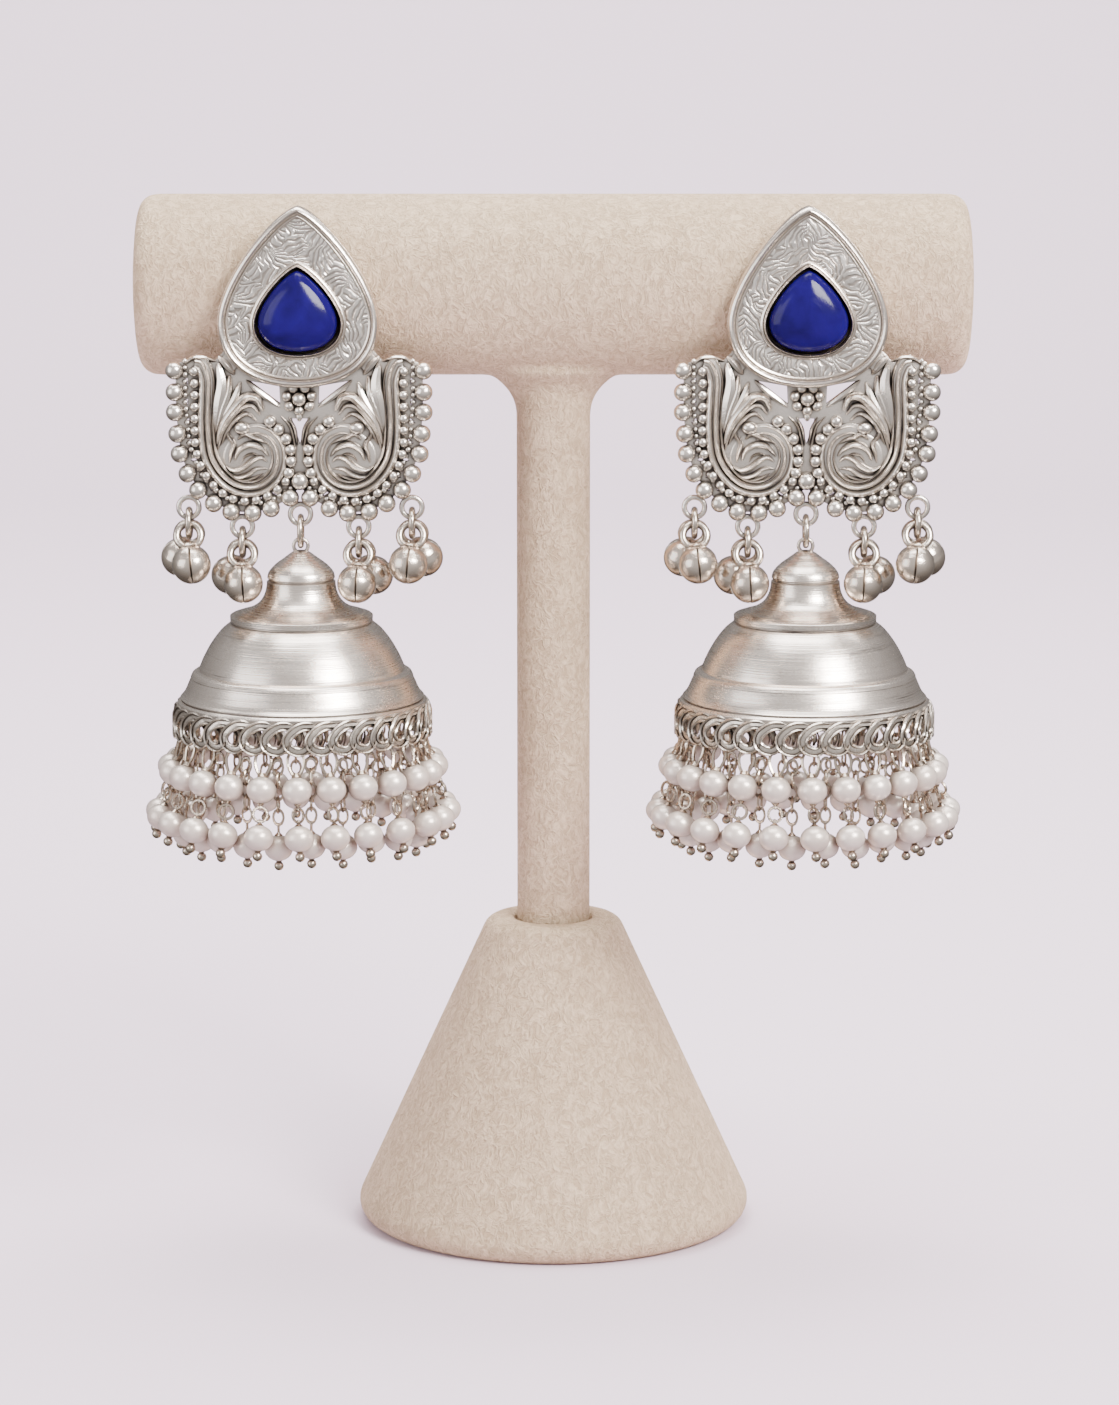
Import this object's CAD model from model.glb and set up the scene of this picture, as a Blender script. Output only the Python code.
"""A pair of jhumka earrings hanging on a padded T-bar stand.

Shapes are made in millimetres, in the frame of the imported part, and are put into metres when they
become objects. Each earring is shaped in its own frame: x across, z down from the tip of the pear
setting, y = 0 on the flat back of its plates and -y towards the front.
"""
import logging
import math
import random
from dataclasses import dataclass, field
from enum import Enum
from typing import Callable, Mapping, Protocol, Sequence

import bmesh
import bpy
import numpy as np
from mathutils import Matrix, Vector


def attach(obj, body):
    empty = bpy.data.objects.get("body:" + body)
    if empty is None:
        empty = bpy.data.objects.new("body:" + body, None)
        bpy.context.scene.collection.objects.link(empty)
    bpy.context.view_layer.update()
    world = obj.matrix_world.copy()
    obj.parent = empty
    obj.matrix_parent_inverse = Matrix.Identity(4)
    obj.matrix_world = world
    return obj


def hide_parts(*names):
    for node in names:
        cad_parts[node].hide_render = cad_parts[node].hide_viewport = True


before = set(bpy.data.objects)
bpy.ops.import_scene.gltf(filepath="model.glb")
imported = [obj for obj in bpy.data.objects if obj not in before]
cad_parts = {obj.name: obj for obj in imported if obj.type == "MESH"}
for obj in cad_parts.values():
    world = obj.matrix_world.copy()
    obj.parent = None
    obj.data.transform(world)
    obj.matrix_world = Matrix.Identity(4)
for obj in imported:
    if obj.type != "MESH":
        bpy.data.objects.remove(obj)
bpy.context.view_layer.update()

LOG = logging.getLogger("earrings")
METRE = 0.001
FRONT = Vector((0.0, -1.0, 0.0))
UP = Vector((0.0, 0.0, 1.0))


class Side(Enum):
    """The two earrings, by the side of the stand that they hang on."""

    LEFT = -1
    RIGHT = 1

    @property
    def word(self) -> str:
        """The side's name as the frame writes it."""
        return self.name.lower()


class Slot(Enum):
    """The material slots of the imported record."""

    SUEDE = "suede"
    SILVER = "silver"
    STONE = "blue_stone"
    PEARL = "pearl"


# Forms


@dataclass(frozen=True)
class Form:
    """A mesh in millimetres that isn't an object yet."""

    points: np.ndarray
    corners: np.ndarray
    counts: np.ndarray

    @classmethod
    def taken(cls, shape: bmesh.types.BMesh) -> "Form":
        """Takes over the mesh of a finished bmesh.

        Args:
            shape: The bmesh, which is freed.

        Returns:
            The same mesh as a form.
        """
        mesh = bpy.data.meshes.new("taken")
        shape.to_mesh(mesh)
        shape.free()
        points = np.empty(len(mesh.vertices) * 3)
        corners = np.empty(len(mesh.loops), dtype=np.int64)
        counts = np.empty(len(mesh.polygons), dtype=np.int64)
        mesh.vertices.foreach_get("co", points)
        mesh.loops.foreach_get("vertex_index", corners)
        mesh.polygons.foreach_get("loop_total", counts)
        bpy.data.meshes.remove(mesh)
        return cls(points.reshape(-1, 3), corners, counts)

    def placed(self, matrix: Matrix) -> "Form":
        """Moves the form.

        Args:
            matrix: Where it goes; a matrix that mirrors also turns the faces round.

        Returns:
            The moved copy.
        """
        grid = np.array(matrix)
        points = self.points @ grid[:3, :3].T + grid[:3, 3]
        if matrix.determinant() >= 0.0:
            return Form(points, self.corners, self.counts)
        starts = np.cumsum(self.counts) - self.counts
        turned_corners = np.concatenate(
            [self.corners[start:start + count][::-1] for start, count in zip(starts, self.counts)]
        )
        return Form(points, turned_corners, self.counts)

    def moved(self, x: float = 0.0, y: float = 0.0, z: float = 0.0) -> "Form":
        """Shifts the form by a distance along each axis."""
        return self.placed(Matrix.Translation((x, y, z)))

    def sized(self, x: float = 1.0, y: float = 1.0, z: float = 1.0) -> "Form":
        """Stretches the form about the origin."""
        return self.placed(Matrix.Diagonal((x, y, z, 1.0)))

    def both_sides(self) -> "Form":
        """The form together with its mirror image across x = 0."""
        return joined([self, self.sized(x=-1.0)])

    def mesh(self, name: str, scale: float = 1.0) -> bpy.types.Mesh:
        """Makes a Blender mesh.

        Args:
            name: The mesh's name.
            scale: What the lengths are multiplied by.

        Returns:
            The mesh.
        """
        mesh = bpy.data.meshes.new(name)
        mesh.vertices.add(len(self.points))
        mesh.vertices.foreach_set("co", (self.points * scale).ravel())
        mesh.loops.add(len(self.corners))
        mesh.loops.foreach_set("vertex_index", self.corners)
        mesh.polygons.add(len(self.counts))
        mesh.polygons.foreach_set("loop_start", np.cumsum(self.counts) - self.counts)
        mesh.polygons.foreach_set("use_smooth", np.ones(len(self.counts), dtype=bool))
        mesh.update(calc_edges=True)
        mesh.validate()
        return mesh


def joined(forms: Sequence[Form]) -> Form:
    """Puts forms side by side in one mesh.

    Args:
        forms: The forms, at least one.

    Returns:
        One form that holds them all.
    """
    offsets = np.cumsum([0] + [len(form.points) for form in forms[:-1]])
    return Form(
        np.concatenate([form.points for form in forms]),
        np.concatenate([form.corners + offset for form, offset in zip(forms, offsets)]),
        np.concatenate([form.counts for form in forms]),
    )


def turned(profile: Sequence[tuple[float, float]], sides: int, closed: bool = False) -> Form:
    """Turns a profile round the z axis.

    Args:
        profile: Points as (radius, height).
        sides: Steps of the full turn.
        closed: Whether the last point joins the first, as on a ring.

    Returns:
        The turned form, its normals outwards.
    """
    shape = bmesh.new()
    points = [shape.verts.new((radius, 0.0, height)) for radius, height in profile]
    following = points[1:] + points[:1] if closed else points[1:]
    edges = [shape.edges.new(pair) for pair in zip(points, following)]
    bmesh.ops.spin(
        shape, geom=points + edges, cent=(0.0, 0.0, 0.0), axis=UP,
        angle=math.tau, steps=sides, use_merge=True,
    )
    bmesh.ops.remove_doubles(shape, verts=shape.verts[:], dist=1e-4)
    bmesh.ops.recalc_face_normals(shape, faces=shape.faces[:])
    return Form.taken(shape)


def ball(radius: float, fineness: int = 3) -> Form:
    """A round ball.

    Args:
        radius: Its radius.
        fineness: How often its icosahedron is subdivided.

    Returns:
        The ball about the origin.
    """
    shape = bmesh.new()
    bmesh.ops.create_icosphere(shape, subdivisions=fineness, radius=radius)
    return Form.taken(shape)


def arc(
    centre: tuple[float, float], radius: float, start: float, end: float, steps: int,
) -> list[tuple[float, float]]:
    """Points on an arc of a profile.

    Args:
        centre: Its centre as (radius, height).
        radius: Its own radius.
        start: The angle at its first point, from the outward direction.
        end: The angle at its last point.
        steps: Steps between the two.

    Returns:
        The points, both ends included.
    """
    angles = [start + (end - start) * step / steps for step in range(steps + 1)]
    return [(centre[0] + radius * math.cos(a), centre[1] + radius * math.sin(a)) for a in angles]


def wire_ring(radius: float, wire: float, sides: int = 28, wire_sides: int = 10) -> Form:
    """A closed ring of round wire that lies flat, its axis along z.

    Args:
        radius: From the axis to the middle of the wire.
        wire: The wire's radius.
        sides: Steps round the ring.
        wire_sides: Steps round the wire.

    Returns:
        The ring.
    """
    return turned(arc((radius, 0.0), wire, 0.0, math.tau, wire_sides)[:-1], sides, closed=True)


def facing_front(form: Form) -> Form:
    """Turns a form so that its z axis looks towards the front."""
    return form.placed(Matrix.Rotation(math.pi / 2, 4, "X"))


def smoothed(
    corners: Sequence[tuple[float, float]], step: float, depth: float = 0.0, closed: bool = False,
) -> list[Vector]:
    """Lays a smooth line through points of a plane that faces the front.

    Args:
        corners: The points that it passes, as (x, z).
        step: The longest distance between two points of the result.
        depth: How far the plane is in front of y = 0.
        closed: Whether the line returns to its start.

    Returns:
        The points of the line.
    """
    points = [at(x, z, depth) for x, z in corners]
    count = len(points)
    line: list[Vector] = []
    for index in range(count if closed else count - 1):
        if closed:
            a, b, c, d = (points[(index + shift) % count] for shift in (-1, 0, 1, 2))
        else:
            b, c = points[index], points[index + 1]
            a = points[index - 1] if index else b - (c - b)
            d = points[index + 2] if index + 2 < count else c + (c - b)
        parts = max(1, math.ceil((c - b).length / step))
        for part in range(parts):
            t = part / parts
            line.append(0.5 * (
                2 * b + (c - a) * t + (2 * a - 5 * b + 4 * c - d) * t ** 2
                + (3 * b - 3 * c + d - a) * t ** 3
            ))
    if not closed:
        line.append(points[-1])
    return line


def drawn(
    path: Sequence[Vector],
    width: Callable[[float], float] | float,
    height: Callable[[float], float] | float,
    facing: Vector | Sequence[Vector] = FRONT,
    sides: int = 8,
    closed: bool = False,
) -> Form:
    """Draws an oval section along a path.

    Args:
        path: The points of the middle line.
        width: The section's half width, or a function of the share of the way.
        height: The section's half height in the facing direction, or such a function.
        facing: The direction that the section's top faces, or one for each point.
        sides: Steps round the section.
        closed: Whether the path returns to its start.

    Returns:
        The drawn form, closed at its ends.
    """
    count = len(path)
    line = list(path) + [path[0]] if closed else list(path)
    stations = []
    for index, point in enumerate(line):
        before = line[index - 1] if index else (path[-1] if closed else point)
        after = line[index + 1] if index + 1 < len(line) else (path[1] if closed else point)
        along = (after - before).normalized()
        top = facing if isinstance(facing, Vector) else facing[index % count]
        across = along.cross(top).normalized()
        rise = across.cross(along).normalized()
        share = index / (len(line) - 1)
        half_width = max(width(share) if callable(width) else width, 0.01)
        half_height = max(height(share) if callable(height) else height, 0.01)
        grid = Matrix((across * half_width, rise * half_height, along)).transposed().to_4x4()
        grid.translation = point
        stations.append(grid)
    shape = bmesh.new()
    start = bmesh.ops.create_circle(
        shape, cap_ends=not closed, radius=1.0, segments=sides, matrix=stations[0],
    )["verts"]
    edges = list({edge for vert in start for edge in vert.link_edges})
    for before, after in zip(stations, stations[1:]):
        grown = bmesh.ops.extrude_edge_only(shape, edges=edges)["geom"]
        fresh = [part for part in grown if isinstance(part, bmesh.types.BMVert)]
        known = set(fresh)
        edges = [
            part for part in grown
            if isinstance(part, bmesh.types.BMEdge) and part.verts[0] in known and part.verts[1] in known
        ]
        bmesh.ops.transform(shape, matrix=after @ before.inverted(), verts=fresh)
    if closed:
        bmesh.ops.remove_doubles(shape, verts=shape.verts[:], dist=1e-4)
    else:
        bmesh.ops.edgeloop_fill(shape, edges=edges)
    bmesh.ops.recalc_face_normals(shape, faces=shape.faces[:])
    return Form.taken(shape)


def sheet(
    outline: Sequence[Vector],
    holes: Sequence[Sequence[Vector]],
    thickness: float,
    edge: float,
    back: float = 0.0,
) -> Form:
    """A flat plate with pierced holes and softened edges.

    Args:
        outline: Its outer edge, in x and z.
        holes: The edges of what is pierced through it.
        thickness: How thick it is.
        edge: How far its front edges are rounded.
        back: How far its back is in front of y = 0.

    Returns:
        The plate, its front towards -y.
    """
    shape = bmesh.new()
    for line in (outline, *holes):
        points = [shape.verts.new((point.x, -back, point.z)) for point in line]
        for pair in zip(points, points[1:] + points[:1]):
            shape.edges.new(pair)
    bmesh.ops.triangle_fill(
        shape, use_beauty=True, use_dissolve=False, edges=shape.edges[:], normal=FRONT,
    )
    grown = bmesh.ops.extrude_face_region(shape, geom=shape.faces[:])["geom"]
    front = [part for part in grown if isinstance(part, bmesh.types.BMVert)]
    bmesh.ops.translate(shape, vec=FRONT * thickness, verts=front)
    bmesh.ops.recalc_face_normals(shape, faces=shape.faces[:])
    if edge:
        rims = [
            side for side in shape.edges
            if len(side.link_faces) == 2 and side.calc_face_angle() > 1.0
            and all(abs(vert.co.y + back + thickness) < 1e-4 for vert in side.verts)
        ]
        bmesh.ops.bevel(
            shape, geom=rims, offset=edge, segments=2, profile=0.5, affect="EDGES",
            clamp_overlap=True, material=-1,
        )
    return Form.taken(shape)


def at(x: float, z: float, depth: float = 0.0) -> Vector:
    """A point of an earring, a given depth in front of the backs of its plates."""
    return Vector((x, -depth, z))


def tapered(full: float, start: float = 0.15, end: float = 0.15) -> Callable[[float], float]:
    """A width that swells from one end to the middle and thins to the other.

    Args:
        full: The width in the middle.
        start: The share of it at the start.
        end: The share of it at the end.

    Returns:
        The width as a function of the share of the way.
    """
    def width(share: float) -> float:
        """The width at a share of the way."""
        low = start if share < 0.5 else end
        return full * (low + (1 - low) * math.sin(math.pi * share) ** 0.7)
    return width


# Materials


class Signal:
    """A number in a material. An expression on it adds its Math nodes."""

    def __init__(self, tree: bpy.types.NodeTree, socket: bpy.types.NodeSocket) -> None:
        """Keeps the socket that gives the number, and its node tree."""
        self.tree = tree
        self.socket = socket

    def math(self, operation: str, *values: "Signal | float", clamp: bool = False) -> "Signal":
        """Adds one Math node.

        Args:
            operation: The node's operation.
            values: Its inputs in order.
            clamp: Whether the result is kept between 0 and 1.

        Returns:
            The node's result.
        """
        node = self.tree.nodes.new("ShaderNodeMath")
        node.operation = operation
        node.use_clamp = clamp
        for socket, value in zip(node.inputs, values):
            if isinstance(value, Signal):
                self.tree.links.new(value.socket, socket)
            else:
                socket.default_value = value
        return Signal(self.tree, node.outputs[0])

    def __add__(self, other: "Signal | float") -> "Signal":
        """This number plus another."""
        return self.math("ADD", self, other)

    __radd__ = __add__

    def __sub__(self, other: "Signal | float") -> "Signal":
        """This number less another."""
        return self.math("SUBTRACT", self, other)

    def __rsub__(self, other: float) -> "Signal":
        """Another number less this one."""
        return self.math("SUBTRACT", other, self)

    def __mul__(self, other: "Signal | float") -> "Signal":
        """This number times another."""
        return self.math("MULTIPLY", self, other)

    __rmul__ = __mul__

    def __pow__(self, other: float) -> "Signal":
        """This number to a power."""
        return self.math("POWER", self, other)

    def between(self, low: float, high: float) -> "Signal":
        """How far this number is on the way from low to high, kept between 0 and 1."""
        return self.math("MULTIPLY", self - low, 1.0 / (high - low), clamp=True)


Colour = tuple[float, float, float]


def shade(red: int, green: int, blue: int) -> Colour:
    """Turns a colour as the eye reads it into the light that a shader wants.

    Args:
        red: The first channel, from 0 to 255.
        green: The second channel.
        blue: The third channel.

    Returns:
        The three amounts of light, from 0 to 1.
    """
    def light(value: int) -> float:
        """One channel."""
        share = value / 255
        return share / 12.92 if share <= 0.04045 else ((share + 0.055) / 1.055) ** 2.4
    return light(red), light(green), light(blue)


class Recipe:
    """A material while its nodes are put together."""

    def __init__(self, name: str) -> None:
        """Starts a material with a bare shader.

        Args:
            name: The material's name.
        """
        self.material = bpy.data.materials.new(name)
        self.material.use_nodes = True
        self.tree = self.material.node_tree
        self.shader = self.tree.nodes["Principled BSDF"]
        coordinates = self.node("ShaderNodeTexCoord")
        self.place = coordinates.outputs["Object"]
        self.in_mm = self.scaled((1000, 1000, 1000))

    def node(
        self,
        kind: str,
        settings: Mapping[str, object] | None = None,
        inputs: Mapping[str | int, object] | None = None,
    ) -> bpy.types.Node:
        """Adds a node.

        Args:
            kind: The node's type.
            settings: Its own settings, which are set first.
            inputs: What each socket gets, by name or number: a value, a socket or a signal.

        Returns:
            The node.
        """
        node = self.tree.nodes.new(kind)
        for name, value in (settings or {}).items():
            setattr(node, name, value)
        for name, value in (inputs or {}).items():
            self.feed(node.inputs[name], value)
        return node

    def feed(self, socket: bpy.types.NodeSocket, value: object) -> None:
        """Sets a socket to a value, or links it.

        Args:
            socket: The socket.
            value: The value, or the socket or signal that it is linked to.
        """
        if isinstance(value, Signal):
            self.tree.links.new(value.socket, socket)
        elif isinstance(value, bpy.types.NodeSocket):
            self.tree.links.new(value, socket)
        elif isinstance(value, tuple) and len(value) == 3 and socket.type == "RGBA":
            socket.default_value = (*value, 1.0)
        else:
            socket.default_value = value

    def signal(self, socket: bpy.types.NodeSocket) -> Signal:
        """A socket as a number for expressions."""
        return Signal(self.tree, socket)

    def scaled(
        self, scale: Sequence[float], turn: Sequence[float] = (0.0, 0.0, 0.0),
        source: bpy.types.NodeSocket | None = None,
    ) -> bpy.types.NodeSocket:
        """Coordinates in a pattern's own scale.

        Args:
            scale: Pattern lengths per metre, along each axis.
            turn: Angles in radians.
            source: The coordinates to start from, or nothing for the object's own.

        Returns:
            The socket of the coordinates.
        """
        mapping = self.node(
            "ShaderNodeMapping", {"vector_type": "POINT"},
            {"Vector": source or self.place, "Rotation": tuple(turn), "Scale": tuple(scale)},
        )
        return mapping.outputs["Vector"]

    def noise(
        self, vector: bpy.types.NodeSocket, scale: float, detail: float = 3.0, distortion: float = 0.0,
    ) -> Signal:
        """A cloudy pattern.

        Args:
            vector: Its coordinates.
            scale: Its features per unit.
            detail: Its finer layers.
            distortion: How much it is bent.

        Returns:
            The pattern, about 0 to 1.
        """
        node = self.node(
            "ShaderNodeTexNoise", {"noise_dimensions": "3D", "noise_type": "FBM"},
            {"Vector": vector, "Scale": scale, "Detail": detail, "Distortion": distortion},
        )
        return self.signal(node.outputs[0])

    def crest(self, pattern: Signal, sharpness: float) -> Signal:
        """Thin winding ridges along the middle height of a cloudy pattern, 1 on the ridge."""
        away = pattern - 0.5
        return (1 - away.math("ABSOLUTE", away) * sharpness).between(0.0, 1.0)

    def mix(self, factor: Signal | float, low: object, high: object) -> bpy.types.NodeSocket:
        """Mixes two colours.

        Args:
            factor: The share of the second.
            low: The first colour or socket.
            high: The second colour or socket.

        Returns:
            The mixed colour's socket.
        """
        node = self.node("ShaderNodeMix", {"data_type": "RGBA"}, {0: factor, 6: low, 7: high})
        return node.outputs[2]

    def recess(self, reach: float) -> Signal:
        """How open the surface is.

        Args:
            reach: How near, in metres, another surface has to be to close it in.

        Returns:
            A number from 0 in a tight recess to 1 in the open.
        """
        settings = {"samples": 6, "only_local": False}
        node = self.node("ShaderNodeAmbientOcclusion", settings, {"Distance": reach})
        return self.signal(node.outputs["AO"])

    def bump(self, height: Signal, depth: float) -> None:
        """Raises the surface by a pattern.

        Args:
            height: The pattern.
            depth: The depth in metres of a step from 0 to 1.
        """
        node = self.node("ShaderNodeBump", None, {"Strength": 1.0, "Distance": depth, "Height": height})
        self.tree.links.new(node.outputs["Normal"], self.shader.inputs["Normal"])

    def set(self, **values: object) -> None:
        """Sets or links the shader's sockets, with _ for a space in their names."""
        for name, value in values.items():
            self.feed(self.shader.inputs[name.replace("_", " ")], value)


@dataclass(frozen=True)
class SuedeFinish:
    """Pale suede with a short, slightly wrinkled nap."""

    light: Colour = shade(208, 184, 156)
    dark: Colour = shade(156, 133, 106)
    wrinkle_depth: float = 0.00022

    def material(self) -> bpy.types.Material:
        """Builds the material.

        Returns:
            The finished material.
        """
        recipe = Recipe("suede_nap")
        warp = recipe.node("ShaderNodeTexNoise", {"noise_dimensions": "3D"},
                           {"Vector": recipe.in_mm, "Scale": 0.35, "Detail": 2.0})
        bent = recipe.node("ShaderNodeVectorMath", {"operation": "MULTIPLY_ADD"},
                           {0: warp.outputs["Color"], 1: (0.0024, 0.0024, 0.0024), 2: recipe.place})
        fine = recipe.noise(recipe.scaled((1500, 1500, 900), (0.3, 0.7, 0.2), bent.outputs[0]), 1.0, 1.0,
                            distortion=1.2)
        coarse = recipe.noise(recipe.scaled((850, 850, 560), (-0.5, -0.5, 0.3), bent.outputs[0]), 1.0, 1.0,
                              distortion=0.8)
        creases = recipe.crest(fine, 7.0) * 0.5 + recipe.crest(coarse, 9.0) * 0.5
        fibre = recipe.noise(recipe.in_mm, 6.0, 2.0)
        patch = recipe.noise(recipe.in_mm, 0.06, 2.0)
        height = 0.75 * creases + 0.4 * fibre
        tone = height.between(0.05, 0.85) * 0.8 + patch * 0.2
        recipe.set(
            Base_Color=recipe.mix(tone, self.dark, self.light), Roughness=0.94, Sheen_Weight=0.25,
            Sheen_Roughness=0.45, Specular_IOR_Level=0.2,
        )
        recipe.shader.inputs["Sheen Tint"].default_value = (*self.light, 1.0)
        recipe.bump(height, self.wrinkle_depth)
        return recipe.material


@dataclass(frozen=True)
class SilverFinish:
    """Antique silver: bright where it is rubbed, brown and dull in its recesses."""

    name: str
    bright: Colour = shade(238, 226, 216)
    patina: Colour = shade(58, 42, 32)
    reach: float = 0.0011
    polish: float = 0.24
    wear: tuple[float, float] = (0.3, 0.86)
    lathe_lines: bool = False

    def material(self) -> bpy.types.Material:
        """Builds the material.

        Returns:
            The finished material.
        """
        recipe = Recipe(self.name)
        cloud = recipe.noise(recipe.in_mm, 0.55, 4.0)
        speck = recipe.noise(recipe.in_mm, 5.0, 3.0)
        rubbed = (recipe.recess(self.reach) + (cloud - 0.5) * 0.25).between(*self.wear)
        colour = recipe.mix(rubbed, self.patina, self.bright)
        warm = recipe.mix(cloud.between(0.35, 0.8) * 0.35, colour, shade(206, 190, 174))
        rough = self.polish + 0.3 * (1 - rubbed) + 0.1 * (speck - 0.5)
        height = speck * 0.5 + cloud * 0.5
        if self.lathe_lines:
            lines = recipe.noise(recipe.scaled((45, 45, 7000)), 1.0, 3.0)
            streak = recipe.noise(recipe.scaled((130, 130, 1500)), 1.0, 4.0)
            warm = recipe.mix(streak.between(0.56, 0.78) * lines.between(0.4, 0.6) * 0.8, warm, self.patina)
            height = lines * 0.85 + speck * 0.15
            rough = rough + 0.15 * (lines - 0.5)
        recipe.set(Base_Color=warm, Metallic=1.0, Roughness=rough)
        recipe.bump(height, 0.00004)
        return recipe.material


@dataclass(frozen=True)
class EngravedFinish:
    """Antique silver cut with sprays of fine curved strokes, dark between them."""

    bright: Colour = shade(255, 247, 240)
    patina: Colour = shade(112, 94, 80)
    sprays_per_mm: float = 0.42
    pivot: float = 1.0
    strokes: float = 2.2
    fans: float = 22.0
    depth: float = 0.00011

    def material(self) -> bpy.types.Material:
        """Builds the material.

        Returns:
            The finished material.
        """
        recipe = Recipe("engraved_silver")
        size = 1000 * self.sprays_per_mm
        flat = recipe.scaled((size, 0.0, size))
        warp = recipe.node("ShaderNodeTexNoise", {"noise_dimensions": "3D"},
                           {"Vector": flat, "Scale": 1.3, "Detail": 1.0})
        bent = recipe.node("ShaderNodeVectorMath", {"operation": "MULTIPLY_ADD"},
                           {0: warp.outputs["Color"], 1: (0.55, 0.0, 0.55), 2: flat}).outputs[0]
        cell = recipe.node("ShaderNodeTexVoronoi", {"feature": "F1", "voronoi_dimensions": "3D"},
                           {"Vector": bent, "Scale": 1.0, "Randomness": 0.9})
        apart = recipe.node("ShaderNodeVectorMath", {"operation": "SUBTRACT"},
                            {0: bent, 1: cell.outputs["Position"]}).outputs[0]
        chance = recipe.node("ShaderNodeSeparateColor", None, {0: cell.outputs["Color"]})
        turn = recipe.signal(chance.outputs[0]) * math.tau
        offset = recipe.node("ShaderNodeSeparateXYZ", None, {0: apart})
        across = recipe.signal(offset.outputs["X"]) + turn.math("COSINE", turn) * self.pivot
        along = recipe.signal(offset.outputs["Z"]) + turn.math("SINE", turn) * self.pivot
        reach = (across * across + along * along) ** 0.5
        fan = across.math("ARCTAN2", across, along)
        wave = reach * (math.tau * self.strokes) + fan * self.fans
        strokes = wave.math("SINE", wave) * 0.5 + 0.5
        edge = recipe.signal(cell.outputs["Distance"]).between(0.66, 0.46)
        cut = strokes.between(0.1, 0.6) * (0.45 + 0.55 * edge)
        speck = recipe.noise(recipe.in_mm, 4.0, 3.0)
        rubbed = (cut * 0.75 + 0.25 * recipe.recess(0.0006) + (speck - 0.5) * 0.2).between(0.05, 0.75)
        recipe.set(
            Base_Color=recipe.mix(rubbed, self.patina, self.bright), Metallic=1.0,
            Roughness=0.24 + 0.25 * (1 - rubbed),
        )
        recipe.bump(cut * 0.9 + speck * 0.1, self.depth)
        return recipe.material


@dataclass(frozen=True)
class StoneFinish:
    """A polished opaque ultramarine stone."""

    deep: Colour = shade(14, 2, 62)
    clear: Colour = shade(23, 5, 88)

    def material(self) -> bpy.types.Material:
        """Builds the material.

        Returns:
            The finished material.
        """
        recipe = Recipe("blue_stone_polish")
        cloud = recipe.noise(recipe.in_mm, 0.28, 3.0, distortion=0.6).between(0.3, 0.75)
        speck = recipe.noise(recipe.in_mm, 3.5, 3.0)
        recipe.set(
            Base_Color=recipe.mix(cloud, self.deep, self.clear), Roughness=0.12 + 0.06 * speck,
            Specular_IOR_Level=0.2,
        )
        recipe.bump(speck, 0.000006)
        return recipe.material


@dataclass(frozen=True)
class PearlFinish:
    """Warm white pearl lustre, slightly different from pearl to pearl."""

    cream: Colour = shade(236, 224, 214)
    rose: Colour = shade(216, 200, 187)

    def material(self) -> bpy.types.Material:
        """Builds the material.

        Returns:
            The finished material.
        """
        recipe = Recipe("pearl_lustre")
        cloud = recipe.noise(recipe.in_mm, 0.3, 3.0).between(0.3, 0.7)
        ring = recipe.noise(recipe.scaled((500, 500, 2600)), 1.0, 3.0)
        open_side = recipe.recess(0.0042).between(0.1, 0.72)
        body = recipe.mix(cloud * 0.7 + ring * 0.3, self.rose, self.cream)
        recipe.set(
            Base_Color=recipe.mix(open_side, shade(140, 116, 98), body), Roughness=0.3 + 0.1 * ring,
            Metallic=0.5, Coat_Weight=0.4, Coat_Roughness=0.12,
        )
        recipe.bump(ring * 0.5 + cloud * 0.5, 0.00004)
        return recipe.material


@dataclass(frozen=True)
class FloorFinish:
    """Plain pale lilac-grey paper."""

    colour: Colour = shade(222, 204, 217)

    def material(self) -> bpy.types.Material:
        """Builds the material.

        Returns:
            The finished material.
        """
        recipe = Recipe("paper_sweep")
        grain = recipe.noise(recipe.in_mm, 0.8, 3.0)
        recipe.set(Base_Color=self.colour, Roughness=0.75 + 0.15 * grain, Specular_IOR_Level=0.2)
        recipe.bump(grain, 0.00002)
        return recipe.material


# Pieces


class Finish(Protocol):
    """A look that can build its material."""

    def material(self) -> bpy.types.Material:
        """The finished material."""


@dataclass
class Workshop:
    """Makes finished objects from forms and keeps count of them."""

    finishes: dict[str, bpy.types.Material] = field(default_factory=dict)
    triangles: int = 0

    def finish(self, look: Finish) -> bpy.types.Material:
        """The material of a finish, made once.

        Args:
            look: The finish.

        Returns:
            Its material.
        """
        key = repr(look)
        if key not in self.finishes:
            self.finishes[key] = look.material()
        return self.finishes[key]

    def stock(self, name: str, form: Form, look: Finish, crease: float = 42.0) -> bpy.types.Object:
        """Makes an object of a form.

        Args:
            name: The object's name.
            form: Its mesh in millimetres, in the frame of the part.
            look: Its finish.
            crease: Edges with a wider angle than this, in degrees, stay sharp.

        Returns:
            The object.
        """
        mesh = form.mesh(name, METRE)
        mesh.set_sharp_from_angle(angle=math.radians(crease))
        mesh.materials.append(self.finish(look))
        piece = bpy.data.objects.new(name, mesh)
        bpy.context.scene.collection.objects.link(piece)
        return piece

    def piece(
        self, name: str, form: Form, look: Finish, slot: Slot, body: str,
        nodes: Sequence[str], crease: float = 42.0,
    ) -> bpy.types.Object:
        """Makes a piece that stands for nodes of the part.

        Args:
            name: The piece's name.
            form: Its mesh in millimetres, in the frame of the part.
            look: Its finish.
            slot: The record's slot that it takes its finish from.
            body: The body that it rides on.
            nodes: The nodes that it stands for.
            crease: Edges with a wider angle than this, in degrees, stay sharp.

        Returns:
            The piece.
        """
        piece = self.stock(name, form, look, crease)
        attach(piece, body)
        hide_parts(*nodes)
        triangles = int((form.counts - 2).sum())
        self.triangles += triangles
        LOG.info("%s: %d triangles on %s", name, triangles, body)
        return piece


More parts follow.
